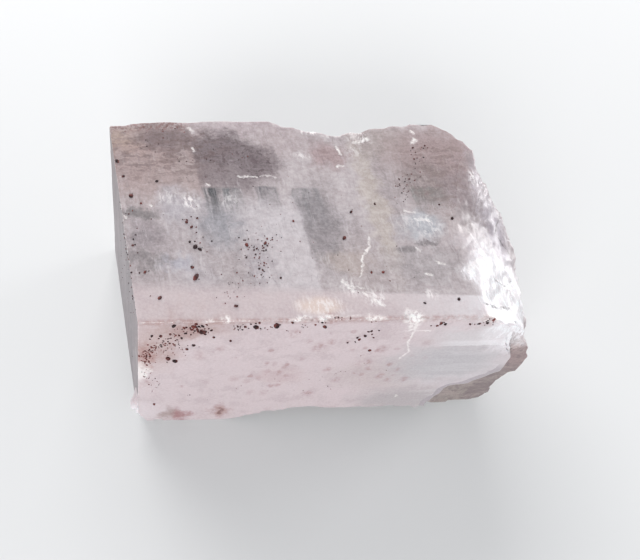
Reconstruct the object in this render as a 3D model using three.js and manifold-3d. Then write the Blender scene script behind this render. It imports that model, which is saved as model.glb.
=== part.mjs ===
// A hand specimen of pale, milky magnesite: a rhombohedral cleavage block broken at its right end.
// Millimetres, +Z up. +X runs along the front edge and +Y to the back.
// The block is laid out from its blunt top front left corner, which stands over (0, 0). At the end
// it is moved so that the origin is the middle of its footprint, on the surface that it lies on.

import * as THREE from 'three';
import { ConvexGeometry } from 'three/addons/geometries/ConvexGeometry.js';
import { ImprovedNoise } from 'three/addons/math/ImprovedNoise.js';
import { mergeVertices } from 'three/addons/utils/BufferGeometryUtils.js';
import Module from 'manifold-3d';

// ---- Driving dimensions ----------------------------------------------------------------------

const FACE_ANGLE = THREE.MathUtils.degToRad(103.3); // between the cleavage edges at the blunt corner
const BLOCK_LENGTH = 73; // along the front edge, out to the right cleavage face
const BLOCK_DEPTH = 41.5; // along the top left edge
const BLOCK_DROP = 35.8; // along the front left edge, from the top face to the base

const SHOULDER_START = 55.8; // X where the top face breaks away towards the right end
const SHOULDER_SLOPE = THREE.MathUtils.degToRad(33);
const NOTCH_X = 34; // middle of the scar that dips into the back edge
const NOTCH_DEPTH = 3.3;
const UNDERSIDE_RISE = 4.75; // how far the front bottom edge is broken off the ground
const SKIN_STEPS = [0.45, 1.7]; // the two layers missing at the lower right of the front face
const COLOUR = 0xd2c8c9;

// ---- Cleavage directions and faces -----------------------------------------------------------

const cosine = Math.cos(FACE_ANGLE);
const sine = Math.sin(FACE_ANGLE);
const lean = (cosine - cosine * cosine) / sine;
const ALONG = new THREE.Vector3(1, 0, 0);
const BACK = new THREE.Vector3(cosine, sine, 0);
const DOWN = new THREE.Vector3(cosine, lean, -Math.sqrt(1 - cosine * cosine - lean * lean));

const HEIGHT = -DOWN.z * BLOCK_DROP;
const BACK_Y = BACK.y * BLOCK_DEPTH; // of the back edge of the top face
const FRONT_LEAN = DOWN.y / DOWN.z; // Y lost from the front and back faces for each mm of drop
const FRONT_NORMAL = new THREE.Vector3().crossVectors(DOWN, ALONG).normalize();
const RIGHT_NORMAL = new THREE.Vector3().crossVectors(DOWN, BACK).normalize();
const BACK_NORMAL = FRONT_NORMAL.clone().negate();

// A point of the block, by the distances along its three edges from the blunt corner.
function onBlock(along, back, down) {
  const point = new THREE.Vector3(0, 0, HEIGHT);
  point.addScaledVector(ALONG, along);
  point.addScaledVector(BACK, back);
  return point.addScaledVector(DOWN, down);
}

// Y of the front face at height z.
function frontY(z) {
  return -FRONT_LEAN * (HEIGHT - z);
}

// ---- Solids ----------------------------------------------------------------------------------

const wasm = await Module();
wasm.setup();

function toSolid(geometry) {
  const bare = geometry.clone();
  bare.deleteAttribute('normal');
  bare.deleteAttribute('uv');
  const merged = mergeVertices(bare, 1e-4);
  const vertProperties = new Float32Array(merged.attributes.position.array);
  const triVerts = new Uint32Array(merged.index.array);
  return new wasm.Manifold(new wasm.Mesh({ numProp: 3, vertProperties, triVerts }));
}

function toGeometry(manifold) {
  const mesh = manifold.getMesh();
  const geometry = new THREE.BufferGeometry();
  geometry.setAttribute('position', new THREE.BufferAttribute(mesh.vertProperties, 3));
  geometry.setIndex(new THREE.BufferAttribute(mesh.triVerts, 1));
  return geometry;
}

// ---- Broken surfaces -------------------------------------------------------------------------

const field = new ImprovedNoise();

function swell(x, y, size, seed) {
  return field.noise(x / size + 7.3 * seed, y / size - 3.1 * seed, 1.9 * seed);
}

// Flat treads parted by short risers, the way that a cleavable mineral breaks.
function treads(value, rise) {
  const level = Math.floor(value / rise);
  return rise * (level + THREE.MathUtils.smoothstep(value / rise - level, 0.7, 1));
}

function hackly(x, y, seed, relief, rise) {
  const steps = treads(relief * swell(x, y, 8.5, seed), rise);
  return steps + 0.25 * relief * swell(x, y, 3.1, seed + 5);
}

// A closed cutter. Its near face is a sheet of broken surface about the point `at`, and it takes
// away all that lies beyond that sheet along `normal`. `shape` gives the relief at each point.
function brokenCut({ at, normal, along, width, depth, cell, shape, reach = 30 }) {
  const columns = Math.round(width / cell);
  const rows = Math.round(depth / cell);
  const box = new THREE.BoxGeometry(width, depth, reach, columns, rows, 1);
  box.translate(0, 0, reach / 2);
  const point = box.attributes.position;
  for (let i = 0; i < point.count; i += 1) {
    if (point.getZ(i) < reach / 2) point.setZ(i, shape(point.getX(i), point.getY(i)));
  }
  const z = normal.clone().normalize();
  const x = along.clone().addScaledVector(z, -along.dot(z)).normalize();
  const y = new THREE.Vector3().crossVectors(z, x);
  box.applyMatrix4(new THREE.Matrix4().makeBasis(x, y, z).setPosition(at));
  return toSolid(box);
}

function cleavageBlock() {
  const box = new THREE.BoxGeometry(BLOCK_LENGTH, BLOCK_DEPTH, BLOCK_DROP);
  box.translate(BLOCK_LENGTH / 2, BLOCK_DEPTH / 2, -BLOCK_DROP / 2);
  const rise = DOWN.clone().negate();
  box.applyMatrix4(new THREE.Matrix4().makeBasis(ALONG, BACK, rise).setPosition(onBlock(0, 0, 0)));
  return toSolid(box);
}

// The right end follows the cleavage, but has parted in shallow hackly steps and bulges a little,
// most of all at the front, under a saddle. Its top front corner is rounded off.
function rightEnd() {
  return brokenCut({
    at: onBlock(BLOCK_LENGTH + 0.2, BLOCK_DEPTH / 2, BLOCK_DROP / 2),
    normal: RIGHT_NORMAL,
    along: BACK,
    width: 54,
    depth: 46,
    cell: 1.45,
    shape: (x, y) => {
      const bulge = -0.0085 * (x + 7.5) ** 2;
      const towardsFront = THREE.MathUtils.smoothstep(-x, 8, 19);
      const belly = 2.8 * Math.exp(-(((y - 1) / 7) ** 2));
      const round = 0.05 * Math.max(0, y - 3) ** 2;
      const saddle = 1.5 * Math.exp(-(((x + 10) / 5) ** 2)) * THREE.MathUtils.smoothstep(y, 3, 8);
      return hackly(x, y, 3, 1.7, 0.6) + bulge - saddle + towardsFront * (belly - round - 0.9);
    },
  });
}

// The shoulder: a shallow scoop that slopes from the top face down to the right end, and falls
// away faster at the front.
function shoulder() {
  const run = 5;
  return brokenCut({
    at: new THREE.Vector3(SHOULDER_START + run, 12, HEIGHT - run * Math.tan(SHOULDER_SLOPE)),
    normal: new THREE.Vector3(Math.sin(SHOULDER_SLOPE), 0, Math.cos(SHOULDER_SLOPE)),
    along: new THREE.Vector3(0, 1, 0),
    width: 46,
    depth: 27,
    cell: 1.15,
    shape: (x, y) => {
      const scoop = 0.009 * x * x - 0.055 * x - 0.9;
      const frontRound = 0.04 * THREE.MathUtils.smoothstep(-x, 3, 12) * Math.max(0, -y) ** 2;
      return scoop - frontRound + hackly(x, y, 8, 1.3, 0.35);
    },
  });
}

// The back right corner is broken off in two facets. The second one ends in a ledge, `ledge` mm
// out from its middle, where the right end stands proud of it.
function backCorner() {
  const facets = [
    { at: [54.4, 37.6, HEIGHT], normal: [0.49, 0.86, -0.14], seed: 11, ledge: 30 },
    { at: [59.8, 31.2, HEIGHT], normal: [0.97, 0.2, -0.12], seed: 14, ledge: 4 },
  ];
  return facets.map(({ at, normal, seed, ledge }) =>
    brokenCut({
      at: new THREE.Vector3(...at),
      normal: new THREE.Vector3(...normal),
      along: new THREE.Vector3(0, 0, 1),
      width: 70,
      depth: 34,
      cell: 1.5,
      shape: (x, y) => {
        const rise = 6 * THREE.MathUtils.smoothstep(y, ledge - 1.5, ledge + 3.5);
        return hackly(x, y, seed, 1.2, 0.4) + rise;
      },
    }),
  );
}

// A flake scar, rippled like a shell, that dips into the back edge and runs out down the back.
function backNotch() {
  const at = new THREE.Vector3(NOTCH_X, BACK_Y - NOTCH_DEPTH, HEIGHT);
  return brokenCut({
    at,
    normal: new THREE.Vector3(0, 0.985, -0.17),
    along: ALONG,
    width: 38,
    depth: 56,
    cell: 1.4,
    shape: (x, y) => {
      const left = NOTCH_DEPTH * (x / 13) ** 2;
      const right = 0.55 * NOTCH_DEPTH * (1 - Math.exp(-((x / 8) ** 2)));
      const bowl = (x < 0 ? left : right) + 0.0035 * y * y;
      const ripple = 0.16 * Math.sin(1.5 * Math.hypot(x + 3, y));
      return bowl + ripple + 0.7 * swell(x, y, 4.3, 17);
    },
  });
}

// The rest of the back is cleavage with a few low steps, cut back a little towards the left.
function backSteps() {
  return brokenCut({
    at: onBlock(14, BLOCK_DEPTH - 0.5, BLOCK_DROP / 2),
    normal: BACK_NORMAL.clone().add(new THREE.Vector3(-0.06, 0, 0)),
    along: ALONG,
    width: 92,
    depth: 46,
    cell: 2.1,
    shape: (x, y) => 0.5 + treads(1.1 * swell(x, y, 11, 21), 0.45),
  });
}

// The front bottom edge is broken off the ground, from near the left corner to the right end. It
// dips towards the ground under the missing skins.
function underside() {
  const middle = new THREE.Vector3(30, -2, 0);
  return brokenCut({
    at: middle,
    normal: new THREE.Vector3(0, 0, -1),
    along: ALONG,
    width: 100,
    depth: 26,
    cell: 1.6,
    shape: (x, y) => {
      const alongEdge = THREE.MathUtils.smoothstep(middle.x + x, 5, 27);
      const inward = THREE.MathUtils.clamp((middle.y - y + 9) / 15, -0.3, 1);
      const dip = Math.exp(-(((middle.x + x - 54) / 5) ** 2));
      const share = (alongEdge - 0.42 * dip) * (1 - inward);
      const rise = (UNDERSIDE_RISE + 0.8) * share - 0.8 + 1.1 * share * swell(x, y, 6, 25);
      return -rise;
    },
  });
}

// Cleavage skins missing from the front face below and right of a ragged line, given as X and
// height. Each deeper skin starts a little further in than the one before it.
const SKIN_EDGE = [
  [51.2, 4.0],
  [53.6, 8.0],
  [55.2, 11.0],
  [58.1, 11.6],
  [60.8, 13.6],
  [64.0, 16.0],
  [65.0, 20.2],
  [63.9, 25.0],
  [63.2, 27.4],
  [64.5, 34.4],
];

function frontSkins() {
  return SKIN_STEPS.map((depth, layer) => {
    const outset = 1.5 * (SKIN_STEPS.length - 1 - layer);
    const edge = new THREE.Shape();
    edge.moveTo(80, -5);
    edge.lineTo(51.2 - 2 * outset, -5);
    SKIN_EDGE.forEach(([x, z], i) => {
      const ragged = 0.25 * Math.sin(2.4 * i + layer);
      edge.lineTo(x - outset * 0.75 + ragged, z + outset + ragged);
    });
    edge.lineTo(80, 38);
    const slab = new THREE.ExtrudeGeometry(edge, { depth: 20, bevelEnabled: false });
    const inset = depth / -FRONT_NORMAL.y;
    const point = slab.attributes.position;
    for (let i = 0; i < point.count; i += 1) {
      const z = point.getY(i);
      point.setXYZ(i, point.getX(i), frontY(z) + inset - point.getZ(i), z);
    }
    return toSolid(slab);
  });
}

// Little chips along the front edge: the X of each, its radius and how deep it bites.
const CHIPS = [
  [6.5, 1.7, 0.3],
  [27.2, 2.6, 0.45],
  [31.9, 1.8, 0.4],
  [39.6, 2.8, 0.5],
  [45.8, 2.4, 0.75],
  [53.5, 1.9, 0.3],
];

function chips() {
  const outward = new THREE.Vector3(0, -0.62, 0.78);
  return CHIPS.map(([x, radius, bite], i) => {
    const chip = new THREE.IcosahedronGeometry(radius);
    chip.rotateX(0.9 * i);
    chip.rotateZ(1.7 * i);
    chip.scale(1.4, 1, 1);
    const centre = new THREE.Vector3(x, 0, HEIGHT).addScaledVector(outward, 0.9 * radius - bite);
    chip.translate(centre.x, centre.y, centre.z);
    return toSolid(chip);
  });
}

// The bottom front left corner carries a small angular fragment that juts out to the left.
const FRAGMENT = [
  [-5.6, -7.1, 10.1],
  [-7.9, -7.9, 7.4],
  [-8.1, -8.4, 6.6],
  [-7.5, -9.4, 3.2],
  [-8.4, -5.4, 3.6],
  [-7.4, -4.8, 7.2],
  [-4, -6, 6.4],
];

function fragment() {
  return toSolid(new ConvexGeometry(FRAGMENT.map((corner) => new THREE.Vector3(...corner))));
}

// Below the fragment the corner is broken off, and a nick parts it from the front bottom edge.
function cornerBreak() {
  return brokenCut({
    at: new THREE.Vector3(-7.55, -9.2, 2.9),
    normal: new THREE.Vector3(-0.844, -0.514, -0.154),
    along: new THREE.Vector3(0, 0, 1),
    width: 10,
    depth: 24,
    cell: 1.2,
    shape: (x, y) => 0.35 * swell(x, y, 3, 29),
    reach: 8,
  });
}

function nick() {
  const wedge = new THREE.IcosahedronGeometry(2.1);
  wedge.scale(0.8, 1, 1.2);
  wedge.translate(-4, -11.6, 0.1);
  return toSolid(wedge);
}

function ground() {
  const slab = new THREE.BoxGeometry(140, 120, 20);
  slab.translate(20, 10, -10);
  return toSolid(slab);
}

function stone() {
  let rock = cleavageBlock();
  const cuts = [rightEnd(), shoulder(), ...backCorner(), backNotch(), backSteps()];
  cuts.push(underside(), ...frontSkins(), ...chips());
  cuts.forEach((cut) => {
    rock = rock.subtract(cut);
  });
  return rock.add(fragment()).subtract(cornerBreak()).subtract(nick()).subtract(ground());
}

// ---- The part --------------------------------------------------------------------------------

const geometry = toGeometry(stone());
geometry.computeBoundingBox();
const middle = geometry.boundingBox.getCenter(new THREE.Vector3());
geometry.translate(-middle.x, -middle.y, -geometry.boundingBox.min.z);
geometry.computeVertexNormals();

const material = new THREE.MeshStandardMaterial({ color: COLOUR, roughness: 0.3, metalness: 0 });
const mesh = new THREE.Mesh(geometry, material);
mesh.name = 'stone';

const group = new THREE.Group();
group.add(mesh);

export default group;
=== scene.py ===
# A hand specimen of pale, milky magnesite: a slanted cleavage block, broken at its right end.
# Metres, +Z up, +X along the front edge and +Y to the back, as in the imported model. Sizes that
# are given in millimetres are named so, or stand beside MM.

import math
import random

import bmesh
import bpy
from mathutils import Matrix, Vector, noise
from mathutils.bvhtree import BVHTree


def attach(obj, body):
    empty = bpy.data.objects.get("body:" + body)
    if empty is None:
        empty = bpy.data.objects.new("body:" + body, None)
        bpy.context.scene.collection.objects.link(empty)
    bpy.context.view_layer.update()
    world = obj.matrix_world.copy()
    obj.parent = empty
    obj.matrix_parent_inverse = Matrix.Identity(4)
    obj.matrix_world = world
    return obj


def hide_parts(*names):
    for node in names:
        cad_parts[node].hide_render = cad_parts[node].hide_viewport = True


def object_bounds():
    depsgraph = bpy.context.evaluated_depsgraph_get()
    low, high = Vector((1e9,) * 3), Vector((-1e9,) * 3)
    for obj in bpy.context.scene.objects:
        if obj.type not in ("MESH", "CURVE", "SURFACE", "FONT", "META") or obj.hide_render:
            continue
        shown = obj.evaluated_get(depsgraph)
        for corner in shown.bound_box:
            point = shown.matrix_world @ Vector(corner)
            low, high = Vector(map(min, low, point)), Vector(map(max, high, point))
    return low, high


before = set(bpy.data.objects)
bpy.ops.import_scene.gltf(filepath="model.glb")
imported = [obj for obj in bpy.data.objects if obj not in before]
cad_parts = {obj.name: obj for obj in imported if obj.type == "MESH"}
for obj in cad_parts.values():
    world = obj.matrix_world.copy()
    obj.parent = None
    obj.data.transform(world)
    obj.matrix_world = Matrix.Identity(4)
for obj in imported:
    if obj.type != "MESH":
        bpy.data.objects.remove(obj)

CAD_BOX = [list(corner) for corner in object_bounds()]
MM = 0.001

# ---- The cleavage block ------------------------------------------------------------------------

# The blunt top front left corner, and the three edges that leave it.
CORNER = Vector((-25.641, -14.989, 33.248)) * MM
ALONG = Vector((1, 0, 0))
BACK = Vector((-0.23005, 0.973179, 0))
DOWN = Vector((-0.23005, -0.290772, -0.928725))
EDGES = Matrix((ALONG, BACK, DOWN)).transposed()
TO_BLOCK = EDGES.inverted()

TOP = Vector((0, 0, 1))
FRONT = DOWN.cross(ALONG).normalized()
LEFT = BACK.cross(DOWN).normalized()
BASE = Vector((0, 0, -1))
CLEAVAGE = {"top": (TOP, CORNER), "front": (FRONT, CORNER), "left": (LEFT, CORNER), "base": (BASE, Vector())}

BROKEN_PIECE = 0.00042  # longest edge on the broken surfaces
CHIP_STEP = 0.0004  # spacing of the chips along the sharp edges
TREAD = 1.7  # millimetres from one small tread to the next on the broken surfaces
SHOULDER = 1.2  # millimetres by which the shoulder is raised at most
NOTCH_AT = 4.3  # millimetres along the front bottom edge to the notch beside the nub
NOTCH_DEPTH = 1.1  # millimetres
RIM_WIDTH = 0.07  # millimetres, the crushed rim between a flat and a broken face
RIM_ANGLE = 35  # degrees, from which such an edge is sharp enough to be crushed
EDGE_WIDTH = 0.008  # millimetres, the unworn width of an edge between two flat faces
SHADING_ANGLE = 40  # degrees, from which an edge stays sharp in the shading


def in_block(point):
    """Millimetres along the three block edges from the blunt corner."""
    return (TO_BLOCK @ (point - CORNER)) / MM


def from_block(along, back, down):
    """The place of a point given in millimetres along the three block edges."""
    return CORNER + (EDGES @ Vector((along, back, down))) * MM


def held(value, low=0, high=1):
    return min(max(value, low), high)


def ripple(point, size, seed):
    """Smooth noise, about -1 to 1, with waves `size` metres long."""
    return noise.noise(point / size + Vector((seed * 7.31, seed * -3.17, seed * 1.93)))


# ---- The stone's surface -----------------------------------------------------------------------


def plane_of(face):
    """The cleavage plane that a face lies on, or None where the surface is broken."""
    for name, (normal, at) in CLEAVAGE.items():
        if face.normal.dot(normal) > 0.9999:
            gap = (face.calc_center_median() - at).dot(normal)
            if abs(gap) < 2e-5:
                return name
            if name == "front" and -2.5e-3 < gap < 0:
                return f"skin {round(gap * 1e4)}"
    return None


def many_sided(shape):
    return [face for face in shape.faces if len(face.verts) > 4]


def inside_flat_faces(shape, flat):
    """The edges that have the same cleavage face on both sides."""
    joined = (edge for edge in shape.edges if edge.is_manifold)
    return [edge for edge in joined if edge.link_faces[0][flat] == edge.link_faces[1][flat] > 0]


def join_flat_faces(shape):
    """Each cleavage face becomes one face, and `flat` tells which plane a face lies on."""
    names = []
    flat = shape.faces.layers.int.new("flat")
    for face in shape.faces:
        name = plane_of(face)
        if name and name not in names:
            names.append(name)
        face[flat] = names.index(name) + 1 if name else 0
    bmesh.ops.dissolve_edges(shape, edges=inside_flat_faces(shape, flat), use_verts=True)
    return flat


def split_broken_faces(shape, flat):
    for _ in range(3):
        coarse = [
            edge
            for edge in shape.edges
            if edge.calc_length() > BROKEN_PIECE and any(not face[flat] for face in edge.link_faces)
        ]
        bmesh.ops.subdivide_edges(shape, edges=coarse, cuts=1, use_grid_fill=True)
        bmesh.ops.triangulate(shape, faces=[face for face in many_sided(shape) if not face[flat]])


def hackle(place, normal):
    """How far a broken surface departs from its coarse form: swells, and then small blocks whose
    treads and risers follow the three cleavage directions. Surfaces that face up are the calmest."""
    calm = 1 - 0.85 * held((normal.z - 0.2) / 0.4)
    swell = calm * (0.16 * ripple(place, 2.6 * MM, 1) + 0.05 * ripple(place, 1.0 * MM, 2))
    swell += 0.02 * ripple(place, 0.6 * MM, 3)
    spot = in_block(place)
    stepped = []
    for axis in range(3):
        wave = ripple(place, 6 * MM, 5 + axis)
        block = Vector((spot[axis - 2] / 3.4 + 0.3 * wave, spot[axis - 1] / 2.3 - 0.3 * wave, 3.5 * axis))
        phase = spot[axis] / TREAD + noise.cell(block) + 0.25 * wave
        part = phase - math.floor(phase)
        rise = held((part - 0.35) / 0.3)
        stepped.append(0.45 * calm * TREAD * (rise * rise * (3 - 2 * rise) - part))
    return swell * MM, EDGES @ Vector(stepped) * MM


def roughen(shape, flat):
    """Breaks up the broken surfaces. Where one meets a flat face, its rim moves in that face."""
    shape.normal_update()
    inner = [v for v in shape.verts if all(not face[flat] for face in v.link_faces)]
    every_way = {"use_axis_x": True, "use_axis_y": True, "use_axis_z": True}
    for _ in range(2):
        bmesh.ops.smooth_vert(shape, verts=inner, factor=0.5, **every_way)
    shape.normal_update()
    moves = []
    for vert in shape.verts:
        planes = {face[flat]: face.normal.copy() for face in vert.link_faces if face[flat]}
        if len(planes) > 1 or all(face[flat] for face in vert.link_faces):
            continue
        swell, steps = hackle(vert.co, vert.normal)
        move = vert.normal * swell + steps
        for normal in planes.values():
            move = 0.8 * (move - normal * move.dot(normal))
        moves.append((vert, move))
    for vert, move in moves:
        vert.co += move


def towards_middle(vert, edges, normals):
    """A step of a corner towards the middle of its neighbours, within the planes that it lies in."""
    around = [edge.other_vert(vert).co for edge in edges]
    step = 0.6 * (sum(around, Vector()) / len(around) - vert.co)
    for normal in normals:
        step -= normal * step.dot(normal)
    return step


def unfold(shape, flat, rounds=6):
    """Where small broken faces have turned over, their corners are drawn together until they lie
    the right way up."""
    for _ in range(rounds):
        shape.normal_update()
        turned = set()
        for edge in shape.edges:
            if edge.is_manifold and edge.link_faces[0].normal.dot(edge.link_faces[1].normal) < -0.25:
                turned.update(vert for face in edge.link_faces if not face[flat] for vert in face.verts)
        moves = []
        for vert in turned:
            planes = {face[flat]: face.normal.copy() for face in vert.link_faces if face[flat]}
            if len(planes) > 1:
                continue
            moves.append((vert, towards_middle(vert, vert.link_edges, planes.values())))
        for vert, move in moves:
            vert.co += move


def round_shoulder(shape, flat):
    """The broken shoulder leaves the top face gently: its first few millimetres are raised."""
    for vert in shape.verts:
        if any(face[flat] for face in vert.link_faces) or in_block(vert.co).x < 50:
            continue
        depth = (CORNER.z - vert.co.z) / MM
        near_top = 1 - held((depth - 4) / 5)
        vert.co.z += SHOULDER * depth / (depth + SHOULDER) * near_top * MM


def bevel(shape, edges, width, **settings):
    """A flat strip along the edges, of a width in millimetres. Returns its faces and corners."""
    return bmesh.ops.bevel(
        shape, geom=edges, offset=width * MM, segments=1, affect="EDGES", profile=0.5, **settings
    )


def mark_worn(strip, flat, worn):
    for face in strip["faces"]:
        face[flat] = 0
        face[worn] = 1.0


def wear_rims(shape, flat, worn):
    """A narrow crushed rim wherever a cleavage face stops sharply at a broken surface."""
    rims = [
        edge
        for edge in shape.edges
        if len(edge.link_faces) == 2
        and (edge.link_faces[0][flat] > 0) != (edge.link_faces[1][flat] > 0)
        and edge.calc_face_angle(0) > math.radians(RIM_ANGLE)
    ]
    mark_worn(bevel(shape, rims, RIM_WIDTH, clamp_overlap=True), flat, worn)


def longest_sharp_edge(shape, flat):
    """The longest edge over 2 mm between two different cleavage faces, or None."""
    sharp = [
        edge
        for edge in shape.edges
        if len({face[flat] for face in edge.link_faces}) == 2
        and all(face[flat] for face in edge.link_faces)
        and edge.calc_length() > 2 * MM
    ]
    return max(sharp, key=lambda edge: edge.calc_length(), default=None)


def nick(place):
    """Millimetres by which a sharp edge is worn back: a little everywhere, more in some stretches,
    and most in the notch beside the nub."""
    fine = 0.09 * max(0, ripple(place, 0.9 * MM, 23))
    stretch = held(1.5 * ripple(place, 5 * MM, 20))
    chip = ripple(place, 1.2 * MM, 21) + 0.5 * ripple(place, 0.45 * MM, 22)
    depth = 0.025 + fine + stretch * (0.04 + 0.55 * max(0, chip) ** 1.5)
    if place.z < 1 * MM:
        depth += NOTCH_DEPTH * max(0, 1 - ((in_block(place).x - NOTCH_AT) / 0.8) ** 2)
    return depth


def chip_edges(shape, flat, worn):
    """Small ragged chips here and there along the edges between two cleavage faces."""
    while edge := longest_sharp_edge(shape, flat):
        first, second = (face.normal.copy() for face in edge.link_faces)
        cuts = int(edge.calc_length() / CHIP_STEP)
        split = bmesh.ops.subdivide_edges(shape, edges=[edge], cuts=cuts)
        pieces = [e for e in split["geom_split"] if isinstance(e, bmesh.types.BMEdge)]
        strip = bevel(shape, pieces, EDGE_WIDTH)
        mark_worn(strip, flat, worn)
        for vert in strip["verts"]:
            on = [face.normal for face in vert.link_faces if face[flat]]
            if len(on) != 1:
                continue
            other = second if on[0].dot(first) > 0.99 else first
            inward = -(other - on[0] * other.dot(on[0])).normalized()
            vert.co += inward * nick(vert.co) * MM


def order_faces(shape):
    """Sorts the faces by their corners, so that the stone comes out the same in each run."""
    shape.verts.index_update()
    ordered = sorted(shape.faces, key=lambda face: sorted(vert.index for vert in face.verts))
    for place, face in enumerate(ordered):
        face.index = place
    shape.faces.sort()


def split_flat_faces(shape, flat, rounds=5):
    """Splits the flat faces into triangles. An outline that crosses itself is first drawn straighter."""
    largest = sorted((face for face in shape.faces if face[flat]), key=lambda face: face.calc_area())
    facing = {face[flat]: face.normal.copy() for face in largest}
    for _ in range(rounds):
        bmesh.ops.triangulate(shape, faces=many_sided(shape))
        shape.normal_update()
        turned = [face for face in shape.faces if face[flat] and face.normal.dot(facing[face[flat]]) < 0.5]
        if not turned:
            break
        moves = []
        for vert in {vert for face in turned for vert in face.verts}:
            planes = {face[flat] for face in vert.link_faces if face[flat]}
            rim = [edge for edge in vert.link_edges if sum(face[flat] > 0 for face in edge.link_faces) == 1]
            if len(planes) == 1 and rim:
                moves.append((vert, towards_middle(vert, rim, [facing[planes.pop()]])))
        for vert, move in moves:
            vert.co += move
        bmesh.ops.dissolve_edges(shape, edges=inside_flat_faces(shape, flat), use_verts=False)
    bmesh.ops.triangulate(shape, faces=many_sided(shape))


def keep_inside(shape, margin=2e-5):
    """Keeps the sides a hair inside the CAD box, and the top and base on it."""
    low, high = CAD_BOX
    for vert in shape.verts:
        for axis, gap in enumerate((margin, margin, 0)):
            vert.co[axis] = held(vert.co[axis], low[axis] + gap, high[axis] - gap)


def build_stone(cad):
    """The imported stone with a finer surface. Its faces are marked Broken, Worn and Left."""
    shape = bmesh.new()
    shape.from_mesh(cad.data)
    bmesh.ops.remove_doubles(shape, verts=shape.verts, dist=1e-6)
    flat = join_flat_faces(shape)
    split_broken_faces(shape, flat)
    round_shoulder(shape, flat)
    roughen(shape, flat)
    unfold(shape, flat)
    worn = shape.faces.layers.float.new("Worn")
    wear_rims(shape, flat, worn)
    chip_edges(shape, flat, worn)
    order_faces(shape)
    unfold(shape, flat)
    split_flat_faces(shape, flat)
    order_faces(shape)
    keep_inside(shape)
    rough = shape.faces.layers.float.new("Broken")
    left = shape.faces.layers.float.new("Left")
    for face in shape.faces:
        face[rough] = 0.0 if face[flat] else 1.0
        face[left] = 1.0 if face[flat] and face.normal.dot(LEFT) > 0.999 else 0.0
    mesh = bpy.data.meshes.new("magnesite_block")
    shape.to_mesh(mesh)
    shape.free()
    mesh.set_sharp_from_angle(angle=math.radians(SHADING_ANGLE))
    for face, mark in zip(mesh.polygons, mesh.attributes["Broken"].data):
        face.use_smooth = mark.value > 0.5
    stone = bpy.data.objects.new("magnesite_block", mesh)
    bpy.context.scene.collection.objects.link(stone)
    return stone


# ---- Short ways to build node trees ------------------------------------------------------------


def shade(code):
    """A linear colour from the six digits of a screen colour."""
    channels = [int(code[i : i + 2], 16) / 255 for i in (0, 2, 4)]
    return (*(c / 12.92 if c <= 0.04045 else ((c + 0.055) / 1.055) ** 2.4 for c in channels), 1)


class Tree:
    """Adds nodes to a tree and joins them. A socket, number, vector or colour may feed an input."""

    def __init__(self, tree):
        self.tree = tree

    def add(self, kind, inputs=None, **settings):
        node = self.tree.nodes.new(kind)
        for name, value in settings.items():
            setattr(node, name, value)
        for key, value in (inputs or {}).items():
            self.feed(node.inputs[key], value)
        return node

    def feed(self, socket, value):
        if isinstance(value, bpy.types.NodeSocket):
            self.tree.links.new(value, socket)
        else:
            socket.default_value = value

    def math(self, operation, *values):
        return self.add("ShaderNodeMath", dict(enumerate(values)), operation=operation).outputs[0]

    def vector(self, operation, *values):
        node = self.add("ShaderNodeVectorMath", dict(enumerate(values)), operation=operation)
        return node.outputs["Value" if operation in ("DOT_PRODUCT", "LENGTH", "DISTANCE") else "Vector"]

    def scale(self, vector, factor):
        return self.add("ShaderNodeVectorMath", {0: vector, "Scale": factor}, operation="SCALE").outputs[0]

    def between(self, value, low, high, to_low=0.0, to_high=1.0, smooth=True):
        """Maps low..high to to_low..to_high and stops there."""
        ends = {"Value": value, "From Min": low, "From Max": high, "To Min": to_low, "To Max": to_high}
        kind = "SMOOTHSTEP" if smooth else "LINEAR"
        node = self.add("ShaderNodeMapRange", ends, interpolation_type=kind, clamp=not smooth)
        return node.outputs["Result"]

    def mix(self, factor, first, second, blend="MIX"):
        node = self.add("ShaderNodeMix", data_type="RGBA", blend_type=blend, clamp_factor=True)
        for socket, value in zip((node.inputs[0], node.inputs[6], node.inputs[7]), (factor, first, second)):
            self.feed(socket, value)
        return node.outputs[2]

    def noise(self, place, scale, detail=3.0, roughness=0.55):
        ends = {"Vector": place, "Scale": scale, "Detail": detail, "Roughness": roughness}
        return self.add("ShaderNodeTexNoise", ends)

    def group(self, group, **inputs):
        node = self.add("ShaderNodeGroup", node_tree=group)
        for name, value in inputs.items():
            self.feed(node.inputs[name.replace("_", " ")], value)
        return node.outputs


def add_sockets(tree, inputs, outputs):
    """Names a group's sockets. Inputs map each name to its kind and value, outputs to its kind."""
    for name, (kind, value) in inputs.items():
        socket = tree.interface.new_socket(name, in_out="INPUT", socket_type=f"NodeSocket{kind}")
        if value is not None:
            socket.default_value = value
    for name, kind in outputs.items():
        tree.interface.new_socket(name, in_out="OUTPUT", socket_type=f"NodeSocket{kind}")


def new_group(name, inputs, outputs):
    """An empty shader group, with the ends that its nodes start from and lead to."""
    tree = bpy.data.node_groups.new(name, "ShaderNodeTree")
    add_sockets(tree, inputs, outputs)
    build = Tree(tree)
    return build, build.add("NodeGroupInput").outputs, build.add("NodeGroupOutput").inputs


# ---- Shared effects ----------------------------------------------------------------------------


def block_place_group():
    """Millimetres along the block's three edges, so that a pattern can follow the cleavage."""
    build, given, result = new_group("Block place", {"Position": ("Vector", (0, 0, 0))}, {"Place": "Vector"})
    offset = build.vector("SUBTRACT", given["Position"], tuple(CORNER))
    parts = [build.vector("DOT_PRODUCT", offset, tuple(row / MM)) for row in TO_BLOCK]
    joined = build.add("ShaderNodeCombineXYZ", dict(enumerate(parts)))
    build.feed(result["Place"], joined.outputs[0])
    return build.tree


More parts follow.
